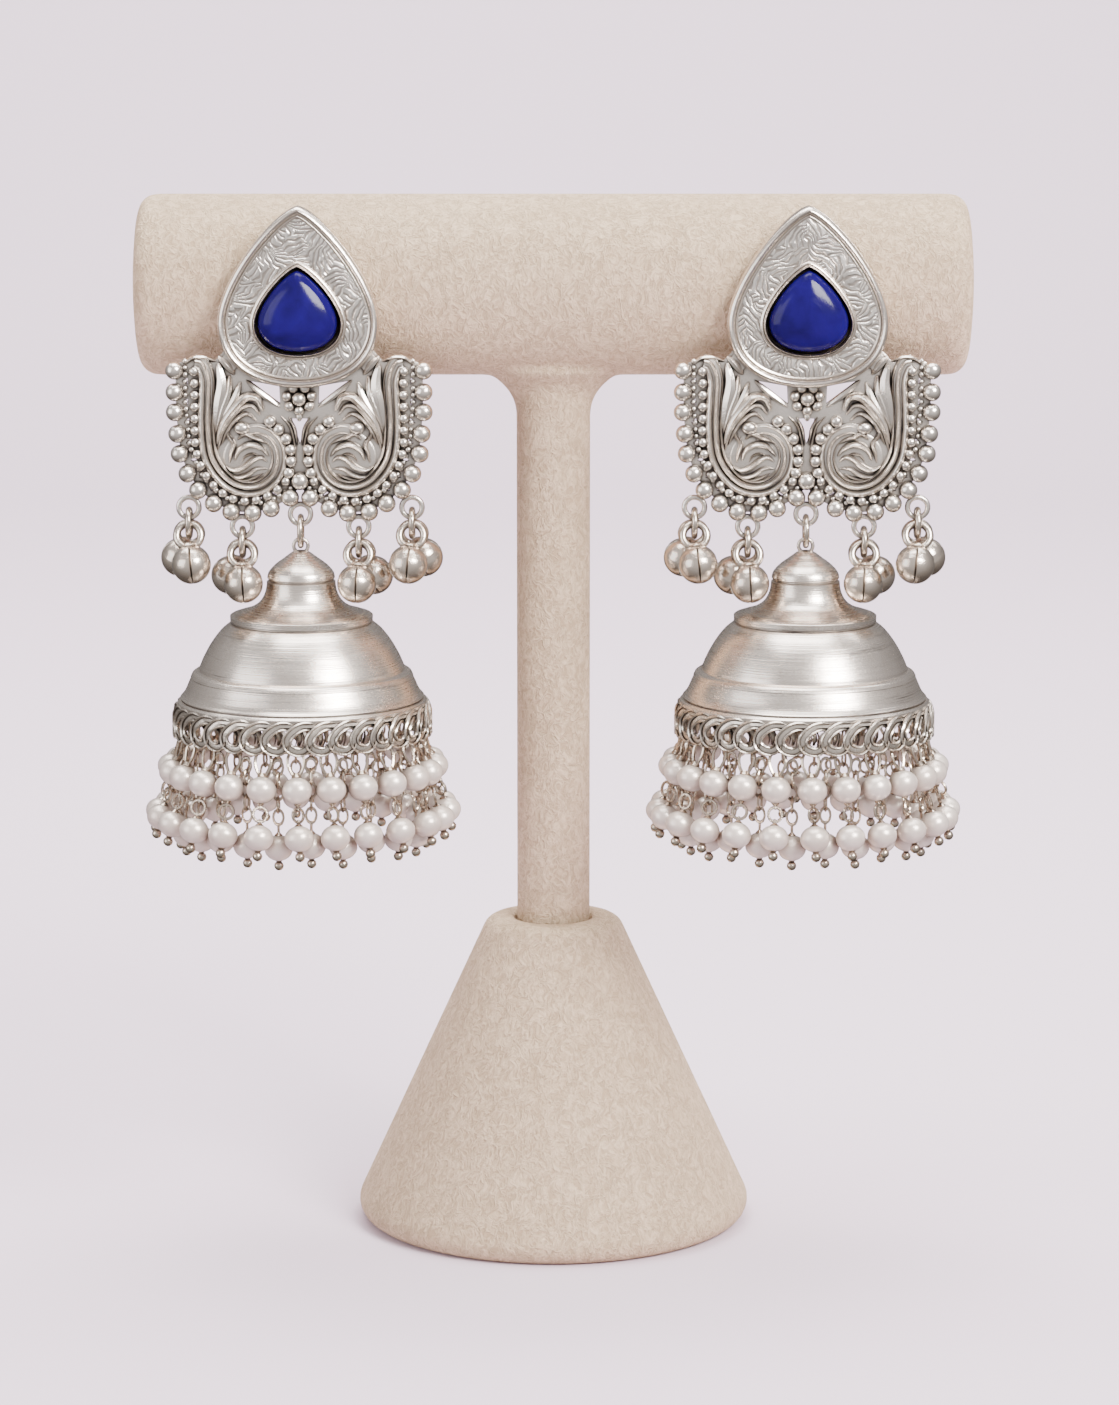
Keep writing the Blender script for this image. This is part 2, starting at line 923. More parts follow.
@dataclass(frozen=True)
class Earring:
    """One earring, whose pieces are made in its own frame."""

    shop: Workshop
    side: Side
    place: Matrix

    def piece(
        self, name: str, form: Form, look: Finish, nodes: Sequence[str],
        body: str = "", slot: Slot = Slot.SILVER, crease: float = 42.0,
    ) -> None:
        """Makes a piece of this earring.

        Args:
            name: The piece's name, here and below without the side.
            form: Its mesh in millimetres, in the frame of the earring.
            look: Its finish.
            nodes: The nodes that it stands for.
            body: The moving body that it rides on, or nothing for the stand.
            slot: The record's slot that it takes its finish from.
            crease: Edges with a wider angle than this, in degrees, stay sharp.
        """
        word = self.side.word
        self.shop.piece(
            f"{word}_{name}", form.placed(self.place), look, slot, f"{word}_{body}" if body else "stand",
            [f"{word}_{node}" for node in nodes], crease,
        )


@dataclass
class Stand:
    """The padded T-bar stand: a bar on a column that flares into it, and a conical base."""

    height: float = 128.0
    bar_length: float = 102.0
    bar_radius: float = 11.0
    bar_round: float = 2.2
    bar_crown: float = 0.6
    column_radius: float = 4.55
    flare_reach: float = 3.7
    flare_height: float = 5.4
    flare_over: float = 1.12
    flare_depth: float = 0.74
    base_height: float = 38.3
    foot_radius: float = 24.4
    foot_round: float = 2.2
    shoulder_radius: float = 8.8
    shoulder_round: float = 1.9
    socket_depth: float = 9.0
    gap: float = 0.3
    voxel: float = 0.42
    softening: int = 7
    hang_across: float = 30.4
    tip_drop: float = 0.7

    def hanging(self, side: Side) -> Matrix:
        """The frame of the earring on one side, where it touches the bar."""
        back = self.bar_radius + self.gap
        return Matrix.Translation((self.hang_across * side.value, -back, self.height - self.tip_drop))

    def bar(self) -> Form:
        """The bar, turned along x, with crowned ends and rounded edges.

        Returns:
            The bar in the part's frame.
        """
        half = self.bar_length / 2
        flat = self.bar_radius - self.bar_round
        end = [(flat * share, half - self.bar_crown * share ** 2) for share in (0.0, 0.35, 0.7, 1.0)]
        edge = half - self.bar_crown - self.bar_round
        end += arc((flat, edge), self.bar_round, math.pi / 2, 0.0, 6)[1:]
        spans = [(self.bar_radius, edge * share) for share in (0.75, 0.5, 0.25, 0.0)]
        upper = end + spans
        profile = upper + [(radius, -across) for radius, across in reversed(upper[:-1])]
        form = turned(profile, 96).placed(Matrix.Rotation(math.pi / 2, 4, "Y"))
        return form.moved(z=self.height - self.bar_radius)

    def column(self) -> Form:
        """The column from its seat in the base up into the bar, with its flare.

        Returns:
            The column in the part's frame.
        """
        axis = self.height - self.bar_radius
        foot = self.base_height - self.socket_depth + self.gap
        top = self.height - 2 * self.bar_radius
        shaft = turned([
            (0.0, foot), (self.column_radius, foot), (self.column_radius, top), (self.column_radius, axis),
            (0.0, axis),
        ], 64)
        rings = []
        for share in np.linspace(0.0, 1.0, 13).tolist():
            reach = self.flare_reach * self.flare_over * share ** 2.6
            height = top - self.flare_height * (1 - self.flare_over * share)
            rings.append((self.column_radius + reach, height))
        flare = turned([(0.0, rings[0][1]), *rings, (0.0, axis)], 64).sized(y=self.flare_depth)
        return joined([shaft, flare])

    def tee(self) -> Form:
        """The bar and the column as one soft-edged cover.

        Returns:
            The remeshed and smoothed form.
        """
        rough = bpy.data.objects.new("rough_tee", joined([self.bar(), self.column()]).mesh("rough_tee"))
        bpy.context.scene.collection.objects.link(rough)
        remesh = rough.modifiers.new("one_skin", "REMESH")
        remesh.mode = "VOXEL"
        remesh.voxel_size = self.voxel
        whole = rough.evaluated_get(bpy.context.evaluated_depsgraph_get()).to_mesh()
        shape = bmesh.new()
        shape.from_mesh(whole)
        rough.to_mesh_clear()
        bpy.data.objects.remove(rough)
        for _ in range(self.softening):
            bmesh.ops.smooth_vert(
                shape, verts=shape.verts[:], factor=0.5, use_axis_x=True, use_axis_y=True, use_axis_z=True,
            )
        return Form.taken(shape)

    def base(self) -> Form:
        """The conical base with a rounded foot, a soft shoulder and the column's socket.

        Returns:
            The base in the part's frame.
        """
        profile = [(0.0, 0.0), (self.foot_radius - self.foot_round, 0.0)]
        slope = math.atan2(self.foot_radius - self.shoulder_radius, self.base_height - self.foot_round)
        foot = (self.foot_radius - self.foot_round, self.foot_round)
        profile += arc(foot, self.foot_round, -math.pi / 2, slope, 8)[1:]
        low = profile[-1]
        middle = (self.shoulder_radius - self.shoulder_round, self.base_height - self.shoulder_round)
        crest = arc(middle, self.shoulder_round, slope, math.pi / 2, 6)
        high = crest[0]
        for step in range(1, 9):
            share = step / 9
            profile.append((low[0] + (high[0] - low[0]) * share, low[1] + (high[1] - low[1]) * share))
        socket = self.column_radius + self.gap
        floor = self.base_height - self.socket_depth
        profile += crest + [(socket + 0.3, self.base_height), (socket, self.base_height - 0.3),
                            (socket, floor), (0.0, floor)]
        return turned(profile, 128)

    def build(self, shop: Workshop) -> None:
        """Makes the stand's two pieces.

        Args:
            shop: The workshop.
        """
        suede = SuedeFinish()
        shop.piece("stand_tee_cover", self.tee(), suede, Slot.SUEDE, "stand", ["stand_tee"], 60.0)
        shop.piece("stand_base_cover", self.base(), suede, Slot.SUEDE, "stand", ["stand_base"], 60.0)


@dataclass
class Pear:
    """A pear outline with its tip up, shared by the setting, its bezel and the stone."""

    width: float
    height: float
    top: float = 0.0
    steps: int = 22

    def points(self, inset: float = 0.0) -> list[Vector]:
        """The outline, clockwise as seen from the front, moved inwards by an inset.

        Args:
            inset: How far inside the outline.

        Returns:
            Its points in the plane y = 0.
        """
        half = self.width / 2
        corners = [(0.0, 0.0), (0.3, 0.03), (0.98, 0.4), (1.0, 0.635), (1.0, 0.88), (0.55, 1.0), (0.0, 1.0)]
        right = []
        for first in (0, 3):
            curve = [at(x * half, -self.top - z * self.height) for x, z in corners[first:first + 4]]
            for step in range(self.steps):
                t = step / self.steps
                s = 1 - t
                right.append(curve[0] * s ** 3 + 3 * curve[1] * s * s * t + 3 * curve[2] * s * t * t
                             + curve[3] * t ** 3)
        bottom = Vector((0.0, 0.0, -self.top - self.height))
        left = [Vector((-point.x, 0.0, point.z)) for point in reversed(right[1:])]
        line = right + [bottom] + left
        if not inset:
            return line
        count = len(line)
        moved = []
        for index, point in enumerate(line):
            along = (line[(index + 1) % count] - line[index - 1]).normalized()
            inwards = Vector((along.z, 0.0, -along.x))
            moved.append(point + inwards * inset)
        return moved

    def wire(self, inset: float, depth: float, width: float, height: float, sides: int) -> Form:
        """A closed wire that follows the outline.

        Args:
            inset: How far inside the outline.
            depth: How far in front of y = 0.
            width: The wire's half width.
            height: Its half height.
            sides: Steps round its section.

        Returns:
            The wire.
        """
        path = [point + FRONT * depth for point in self.points(inset)]
        return drawn(path, width, height, sides=sides, closed=True)


@dataclass
class StudPanel:
    """The pear setting with its engraved field, and the beaded scroll panel soldered behind it."""

    pear: Pear = field(default_factory=lambda: Pear(19.3, 21.6))
    bezel: Pear = field(default_factory=lambda: Pear(10.8, 11.0, 6.85))
    pear_plate: float = 1.9
    rim_inset: float = 0.48
    rim_half: float = 0.46
    rim_rise: float = 0.7
    step_inset: float = 1.1
    bezel_wall: float = 0.4
    bezel_rise: float = 1.3
    plate: float = 0.85
    gap_inset: float = 1.35
    gap_radius: float = 0.42
    ball_radius: float = 1.08
    bead_radius: float = 0.6
    eyelet_hole: float = 0.9
    eyelet_wire: float = 0.325
    post_radius: float = 0.45
    post_length: float = 8.9
    post_drop: float = 9.5
    eyelets: tuple[tuple[float, float], ...] = (
        (0.0, -36.94), (-13.41, -36.13), (-7.0, -38.45), (7.0, -38.45), (13.41, -36.13),
    )
    edge_balls: tuple[tuple[float, float], ...] = (
        (-14.9, -19.6), (-14.9, -22.2), (-14.9, -24.6), (-14.65, -27.2), (-14.4, -29.6), (-13.5, -32.0),
        (-12.25, -34.0), (-10.4, -35.6), (-8.3, -36.6), (-5.7, -36.75), (-3.5, -36.2), (-1.2, -34.9),
    )
    scroll: tuple[tuple[float, float], ...] = (
        (-12.4, -18.6), (-11.6, -18.9), (-11.0, -20.6), (-11.05, -23.0), (-11.15, -25.5), (-11.05, -28.0),
        (-10.7, -30.0), (-9.7, -31.8), (-8.2, -33.2), (-6.4, -33.8), (-4.6, -33.5), (-3.1, -32.3),
        (-2.45, -30.6), (-2.6, -28.8), (-3.5, -27.5), (-5.0, -26.9), (-6.2, -27.1),
    )
    rosette_z: float = -23.0
    petals: int = 7
    seed: int = 7

    def setting(self) -> Form:
        """The pear's plate, rim, bezel and post.

        Returns:
            The form in the earring's frame.
        """
        front = self.pear_plate
        wall = self.bezel_wall / 2
        forms = [
            sheet(self.pear.points(), [], front, 0.3),
            self.pear.wire(self.rim_inset, front, self.rim_half, self.rim_rise, 12),
            self.pear.wire(self.step_inset, front, 0.24, 0.26, 8),
            self.bezel.wire(-0.1, front, 0.34, 0.42, 10),
            self.bezel.wire(wall, front, wall, self.bezel_rise, 10),
        ]
        post = turned([
            (0.0, 0.0), (self.post_radius, 0.0), (self.post_radius, self.post_length - 0.9),
            (0.34, self.post_length - 0.75), (0.34, self.post_length - 0.5),
            (self.post_radius, self.post_length - 0.35), (0.25, self.post_length), (0.0, self.post_length),
        ], 20)
        forms.append(post.placed(Matrix.Rotation(-math.pi / 2, 4, "X")).moved(z=-self.post_drop))
        return joined(forms)

    def engraved_field(self) -> Form:
        """The engraved ground between the rim and the bezel, a little crowned in its middle.

        Returns:
            The form in the earring's frame.
        """
        outer = self.pear.points(1.2)
        inner = self.bezel.points(-0.3)
        rings = []
        section = ((0.0, 0.0), (0.0, 0.12), (0.2, 0.22), (0.5, 0.28), (0.8, 0.22), (1.0, 0.12), (1.0, 0.0))
        for share, rise in section:
            lift = FRONT * (self.pear_plate + rise)
            rings.append([far.lerp(near, share) + lift for far, near in zip(outer, inner)])
        shape = bmesh.new()
        loops = []
        for ring in rings:
            points = [shape.verts.new(point) for point in ring]
            loops.append([shape.edges.new(pair) for pair in zip(points, points[1:] + points[:1])])
        for before, after in zip(loops, loops[1:] + loops[:1]):
            bmesh.ops.bridge_loops(shape, edges=before + after)
        bmesh.ops.recalc_face_normals(shape, faces=shape.faces[:])
        return Form.taken(shape)

    def backing(self) -> Form:
        """The flat pierced plate that carries the scrolls and beads.

        Returns:
            The plate.
        """
        left = [at(x + 0.1, z) for x, z in self.edge_balls]
        crest = [at(-14.2, -18.6), at(-12.0, -18.0), at(-10.2, -18.6), at(-8.9, -17.2)]
        half = list(reversed(crest)) + left
        outline = half + [at(0.0, -33.6)] + [at(-point.x, point.z) for point in reversed(half)]
        gaps = [[(-5.9, -20.9), (-2.4, -21.5), (-2.3, -23.6)]]
        balls = self.edge_balls
        for first, second in zip(balls, balls[1:]):
            along = math.atan2(second[1] - first[1], second[0] - first[0])
            inwards = along + math.pi / 2
            x = (first[0] + second[0]) / 2 + self.gap_inset * math.cos(inwards)
            z = (first[1] + second[1]) / 2 + self.gap_inset * math.sin(inwards)
            gaps.append([
                (x + self.gap_radius * math.cos(angle), z + self.gap_radius * math.sin(angle))
                for angle in (inwards + math.pi, inwards + math.pi * 5 / 3, inwards + math.pi / 3)
            ])
        holes = [[at(hand * x, z) for x, z in gap] for gap in gaps for hand in (1, -1)]
        holes.append([at(-0.95, -25.4), at(0.95, -25.4), at(0.0, -28.4)])
        return sheet(outline, holes, self.plate, 0.12)

    def beads(self) -> Form:
        """The large edge balls, the inner bead rows and the fine granules between them.

        Returns:
            The beads as one form.
        """
        chance = random.Random(self.seed)
        big = ball(self.ball_radius, 4)
        small = ball(self.bead_radius, 3)
        grain = ball(0.36, 2)
        forms = [big.moved(x, -self.ball_radius, z) for x, z in self.edge_balls]
        outer = (
            (-12.55, -19.7), (-12.5, -22.5), (-12.5, -25.5), (-12.45, -28.5), (-12.1, -30.3),
            (-11.2, -32.3), (-9.9, -33.8), (-8.3, -34.9), (-6.5, -35.3), (-4.8, -35.0), (-3.1, -34.2),
            (-1.7, -32.9),
        )
        forms += row(small, outer, 1.4, self.plate + 0.25)
        inside = (
            (-3.5, -25.7), (-2.55, -26.6), (-1.65, -27.8), (-1.05, -29.2), (-1.05, -30.6), (-1.35, -31.9),
        )
        forms += row(small.sized(1.18, 1.1, 1.18), inside, 1.45, self.plate + 0.35)
        between = smoothed([(x * 0.914, z + 1.15) for x, z in self.edge_balls], 0.2)
        for point in spaced(between, 0.82):
            size = chance.uniform(0.8, 1.1)
            forms.append(grain.sized(size, size, size).moved(point.x, -self.plate - 0.15, point.z))
        hem = [(x * 0.96 + 0.1, z + 0.2) for x, z in (
            (-12.2, -20.2), (-12.05, -25.0), (-11.9, -29.5), (-10.9, -31.9), (-9.2, -33.8), (-6.6, -34.6),
            (-4.4, -34.3), (-2.9, -33.3),
        )]
        forms += row(grain.sized(0.7, 0.7, 0.7), hem, 0.62, self.plate + 0.1)
        middle = big.moved(0.0, -self.ball_radius, -32.9)
        return joined([joined(forms).both_sides(), middle])

    def scrolls(self) -> Form:
        """The fluted commas, acanthus leaves, curled crests and struts.

        Returns:
            The relief of both halves.
        """
        line = smoothed(self.scroll, 0.4, self.plate)
        forms = [sheet([at(p.x, p.z) for p in self.comma()], [], self.plate + 0.1, 0.15, back=0.3),
                 ball(3.3, 4).sized(y=0.08).moved(-5.9, -self.plate, -30.2)]
        for offset, half, rise in ((-0.8, 0.26, 0.75), (-0.2, 0.38, 0.98), (0.62, 0.5, 0.88)):
            raised = [point + FRONT * max(0.0, rise + 0.05 - self.plate) for point in beside(line, offset)]
            forms.append(drawn(raised, tapered(half, 0.7, 0.25), tapered(rise, 0.6, 0.3)))
        leaves = (
            (((-9.6, -18.7), (-9.2, -21.2), (-9.6, -23.6), (-10.1, -26.6)), 0.85, 1.1),
            (((-8.3, -20.2), (-8.5, -22.2), (-9.3, -24.4), (-10.05, -27.2)), 0.6, 1.0),
            (((-7.0, -21.0), (-7.7, -22.9), (-8.9, -24.9), (-9.95, -27.9)), 0.6, 0.9),
            (((-4.35, -24.4), (-5.0, -22.9), (-6.4, -22.8), (-7.8, -24.1), (-9.1, -25.9), (-9.9, -28.4)),
             0.62, 1.1),
            (((-4.7, -24.9), (-5.6, -23.8), (-6.9, -24.0), (-8.2, -25.3), (-9.3, -27.1), (-9.85, -29.2)),
             0.42, 0.85),
            (((-5.2, -25.6), (-6.2, -24.8), (-7.4, -25.3), (-8.5, -26.6), (-9.4, -28.5)), 0.36, 0.8),
            (((-8.7, -26.5), (-8.5, -27.5), (-7.9, -28.4), (-8.2, -29.6), (-8.4, -30.7)), 0.34, 0.9),
            (((-8.9, -31.1), (-7.9, -31.6), (-6.7, -31.2), (-5.6, -30.3), (-4.6, -30.0), (-3.9, -30.6)),
             0.42, 1.0),
            (((-8.7, -31.9), (-7.6, -32.4), (-6.3, -32.1), (-5.2, -31.4), (-3.9, -31.4)), 0.38, 0.9),
            (((-8.0, -32.5), (-6.8, -32.8), (-5.5, -32.5), (-4.3, -31.9)), 0.24, 0.7),
            (((-7.8, -30.4), (-7.4, -29.3), (-6.5, -28.6), (-5.4, -28.5), (-4.4, -29.0), (-3.7, -29.9)),
             0.45, 1.05),
            (((-7.0, -30.7), (-6.5, -29.9), (-5.6, -29.6), (-4.8, -29.9)), 0.22, 0.7),
            (((-7.4, -27.9), (-6.6, -27.2), (-5.6, -27.6), (-4.6, -27.9), (-3.6, -28.5)), 0.36, 0.95),
            (((-6.3, -20.8), (-4.6, -22.3), (-2.3, -24.0)), 0.42, 0.55),
            (((-1.25, -25.2), (-0.55, -26.6), (-0.25, -28.6)), 0.2, 0.7),
            (((-2.2, -25.1), (-1.1, -26.4), (-0.6, -28.6), (-0.5, -30.8)), 0.2, 0.6),
            (((-9.6, -17.9), (-8.7, -18.8), (-7.7, -20.1)), 0.55, 0.7),
            (((-13.7, -18.9), (-12.7, -18.1), (-11.3, -18.0), (-9.9, -18.5)), 0.32, 0.75),
        )
        for points, half, rise in leaves:
            path = smoothed(points, 0.4, max(self.plate, 0.9 * rise + 0.05))
            forms.append(drawn(path, tapered(half, 0.25, 0.2), tapered(0.9 * rise, 0.35, 0.3)))
        crown = ball(1.0, 3).sized(0.95, 0.8, 0.75).moved(-6.9, -self.plate - 0.3, -26.5)
        tab = sheet([at(-8.6, -17.4), at(-7.4, -19.2), at(-8.2, -20.0), at(-9.5, -18.4)], [], 1.2, 0.15)
        forms += [crown, tab]
        return joined(forms).both_sides()

    def comma(self) -> list[Vector]:
        """The outline of the flat ground under the fluted comma."""
        line = smoothed(self.scroll, 0.6)
        return beside(line, -0.95) + list(reversed(beside(line, 0.95)))

    def rosette(self) -> Form:
        """The small flower under the pear, with its hanging grain.

        Returns:
            The flower.
        """
        petal = ball(0.62, 3)
        forms = [ball(0.85, 3).moved(0.0, -self.plate - 0.55, self.rosette_z)]
        for step in range(self.petals):
            angle = math.tau * (step + 0.25) / self.petals
            x, z = 1.5 * math.cos(angle), self.rosette_z + 1.4 * math.sin(angle)
            forms.append(petal.moved(x, -self.plate - 0.3, z))
        forms.append(ball(0.42, 3).sized(0.9, 0.9, 1.35).moved(0.0, -self.plate - 0.2, -25.15))
        return joined(forms)

    def loops(self) -> Form:
        """The soldered eyelets under the panel.

        Returns:
            The eyelets.
        """
        radius = self.eyelet_hole + self.eyelet_wire
        ring = facing_front(wire_ring(radius, self.eyelet_wire, 36, 12))
        return joined([ring.moved(x, -0.55, z) for x, z in self.eyelets])

    def build(self, earring: Earring) -> None:
        """Makes the setting and the panel of one earring.

        Args:
            earring: The earring.
        """
        smooth = SilverFinish("setting_silver", reach=0.0004)
        chased = SilverFinish("panel_silver", bright=shade(248, 238, 229), patina=shade(36, 26, 19),
                              reach=0.0015, wear=(0.3, 0.76))
        parts = [self.backing(), self.beads(), self.scrolls(), self.rosette(), self.loops()]
        earring.piece("pear_setting", self.setting(), smooth, ["stud_panel"])
        earring.piece("engraved_field", self.engraved_field(), EngravedFinish(), ["stud_panel"])
        earring.piece("scroll_panel", joined(parts), chased, ["stud_panel"])


def spaced(line: Sequence[Vector], pitch: float) -> list[Vector]:
    """Points at an even pitch along a line.

    Args:
        line: The points of the line.
        pitch: The wished distance between two points.

    Returns:
        The points, from its start to its end.
    """
    steps = [0.0]
    for before, after in zip(line, line[1:]):
        steps.append(steps[-1] + (after - before).length)
    count = max(1, round(steps[-1] / pitch))
    found = []
    index = 0
    for number in range(count + 1):
        reach = steps[-1] * number / count
        while index + 2 < len(line) and steps[index + 1] < reach:
            index += 1
        span = steps[index + 1] - steps[index] or 1.0
        found.append(line[index].lerp(line[index + 1], min(1.0, (reach - steps[index]) / span)))
    return found


def row(form: Form, corners: Sequence[tuple[float, float]], pitch: float, depth: float) -> list[Form]:
    """Sets copies of a form at an even pitch along a smooth line.

    Args:
        form: The form, about the origin.
        corners: The points that the line passes, as (x, z).
        pitch: The wished distance between two copies.
        depth: How far they are in front of y = 0.

    Returns:
        The copies.
    """
    return [form.moved(point.x, -depth, point.z) for point in spaced(smoothed(corners, 0.2), pitch)]


def beside(line: Sequence[Vector], offset: float) -> list[Vector]:
    """A line that runs beside another in the plane of the panel.

    Args:
        line: The first line.
        offset: How far to its right, seen from the front along it.

    Returns:
        The second line.
    """
    moved = []
    for index, point in enumerate(line):
        before = line[max(index - 1, 0)]
        after = line[min(index + 1, len(line) - 1)]
        along = (after - before).normalized()
        moved.append(point + along.cross(FRONT) * offset)
    return moved


@dataclass
class Cabochon:
    """The blue stone: a pear-shaped dome in its bezel."""

    outline: Pear = field(default_factory=lambda: Pear(9.4, 9.6, 7.55, 16))
    seat: float = 1.8
    girdle: float = 1.2
    dome: float = 2.1
    crown: float = -13.2

    def form(self) -> Form:
        """The stone, drawn in from its girdle ring by ring.

        Returns:
            The form in the earring's frame.
        """
        shape = bmesh.new()
        points = [shape.verts.new(point + FRONT * self.seat) for point in self.outline.points()]
        face = shape.faces.new(points)
        centre = Vector((0.0, 0.0, self.crown))
        rings = [(1.0, 0.0), (1.0, self.girdle)]
        for step in range(1, 12):
            angle = math.pi / 2 * step / 11
            rings.append((math.cos(angle), self.girdle + self.dome * math.sin(angle)))
        current = face
        for before, after in zip(rings, rings[1:]):
            grown = bmesh.ops.extrude_face_region(shape, geom=[current])
            fresh = [part for part in grown["geom"] if isinstance(part, bmesh.types.BMVert)]
            current = next(part for part in grown["geom"] if isinstance(part, bmesh.types.BMFace))
            bmesh.ops.translate(shape, vec=FRONT * (after[1] - before[1]), verts=fresh)
            shrink = max(after[0], 0.02) / max(before[0], 0.02)
            here = Matrix.Translation(-centre)
            bmesh.ops.scale(shape, vec=(shrink, 1.0, shrink), space=here, verts=fresh)
        bmesh.ops.recalc_face_normals(shape, faces=shape.faces[:])
        return Form.taken(shape)

    def build(self, earring: Earring) -> None:
        """Makes the stone of one earring and the blackened gap round it.

        Args:
            earring: The earring.
        """
        bed = self.outline.wire(-0.05, self.seat, 0.24, 0.85, 8)
        black = SilverFinish("blackened_silver", bright=shade(40, 32, 27), patina=shade(16, 12, 10))
        earring.piece("stone_bed", bed, black, ["stud_panel"])
        earring.piece("cabochon", self.form(), StoneFinish(), ["stone"], slot=Slot.STONE, crease=50.0)


@dataclass
class Links:
    """The jump rings, the four under the panel and the one that carries the dome."""

    across: tuple[float, ...] = (-13.41, -7.0, 7.0, 13.41)
    bell_ring_z: tuple[float, ...] = (-38.01, -40.33, -40.33, -38.01)
    ring_radius: float = 1.6
    ring_wire: float = 0.38
    drop_z: float = -39.0
    drop_radius: float = 1.75
    drop_wire: float = 0.35
    depth: float = 0.55

    def build(self, earring: Earring) -> None:
        """Makes the rings of one earring.

        Args:
            earring: The earring.
        """
        silver = SilverFinish("link_silver", bright=shade(208, 194, 181), patina=shade(44, 32, 24),
                              reach=0.001)
        edgeways = Matrix.Rotation(math.pi / 2, 4, "Y")
        ring = wire_ring(self.ring_radius, self.ring_wire, 40, 12).placed(edgeways)
        rings = joined([ring.moved(x, -self.depth, z) for x, z in zip(self.across, self.bell_ring_z)])
        earring.piece("bell_links", rings, silver, [f"bell_ring_{number}" for number in range(1, 5)])
        drop = wire_ring(self.drop_radius, self.drop_wire, 40, 12).placed(edgeways)
        earring.piece("drop_link", drop.moved(0.0, -self.depth, self.drop_z), silver, ["drop_ring"], "ring")


@dataclass
class Bells:
    """The eight round bells, two on each jump ring."""

    links: Links = field(default_factory=Links)
    radius: float = 2.35
    eye: float = 1.46
    eye_wire: float = 0.46
    seat: float = 0.22
    centre: float = 3.79
    separation: float = 2.1
    splay: float = 22.0
    seam: float = 0.9
    groove: float = 0.975
    groove_height: float = 0.22
    dimple: float = 0.5
    swings: tuple[tuple[float, float], ...] = ((-6.0, 20.0), (-3.0, 26.0), (3.0, -26.0), (6.0, -20.0))

    def bell(self) -> Form:
        """One bell: a ball with petal seams and a small cut below, and its wire eye.

        Returns:
            The bell, its eye threaded at the origin.
        """
        shape = bmesh.new()
        bmesh.ops.create_uvsphere(shape, u_segments=88, v_segments=28, radius=self.radius)
        for vert in shape.verts:
            flat = math.hypot(vert.co.x, vert.co.y)
            turn = math.degrees(math.atan2(vert.co.y, vert.co.x)) % 90
            low = vert.co.z < self.radius * 0.75
            if flat < 0.05 * self.radius and vert.co.z < 0:
                vert.co.z += self.dimple
            elif low and flat > 0 and min(turn, 90 - turn) < 1.0:
                vert.co *= self.seam
            elif abs(vert.co.z / self.radius - self.groove_height) < 0.04:
                vert.co *= self.groove
        wire = facing_front(wire_ring(self.eye, self.eye_wire, 32, 12)).moved(z=-self.seat)
        collar = turned([(0.0, 0.35), (0.55, 0.3), (0.95, 0.05), (1.1, -0.25), (0.0, -0.4)], 24)
        body = Form.taken(shape).moved(z=-self.centre)
        return joined([body, wire, collar.moved(z=-self.centre + self.radius + 0.02)])

    def build(self, earring: Earring) -> None:
        """Makes the bells of one earring.

        Args:
            earring: The earring.
        """
        bell = self.bell()
        forms = []
        drop = math.sqrt(self.links.ring_radius ** 2 - (self.separation / 2) ** 2)
        for x, z, swings in zip(self.links.across, self.links.bell_ring_z, self.swings):
            for face, swing in zip((-1, 1), swings):
                where = Matrix.Translation((x, -self.links.depth + face * self.separation / 2, z - drop))
                splay = Matrix.Rotation(math.radians(face * self.splay), 4, "X")
                forms.append(bell.placed(where @ splay @ Matrix.Rotation(math.radians(swing), 4, "Y")))
        silver = SilverFinish("bell_silver", bright=shade(222, 208, 195), patina=shade(44, 32, 24),
                              reach=0.001)
        earring.piece("bells", joined(forms), silver, [f"bell_{number}" for number in range(1, 9)])


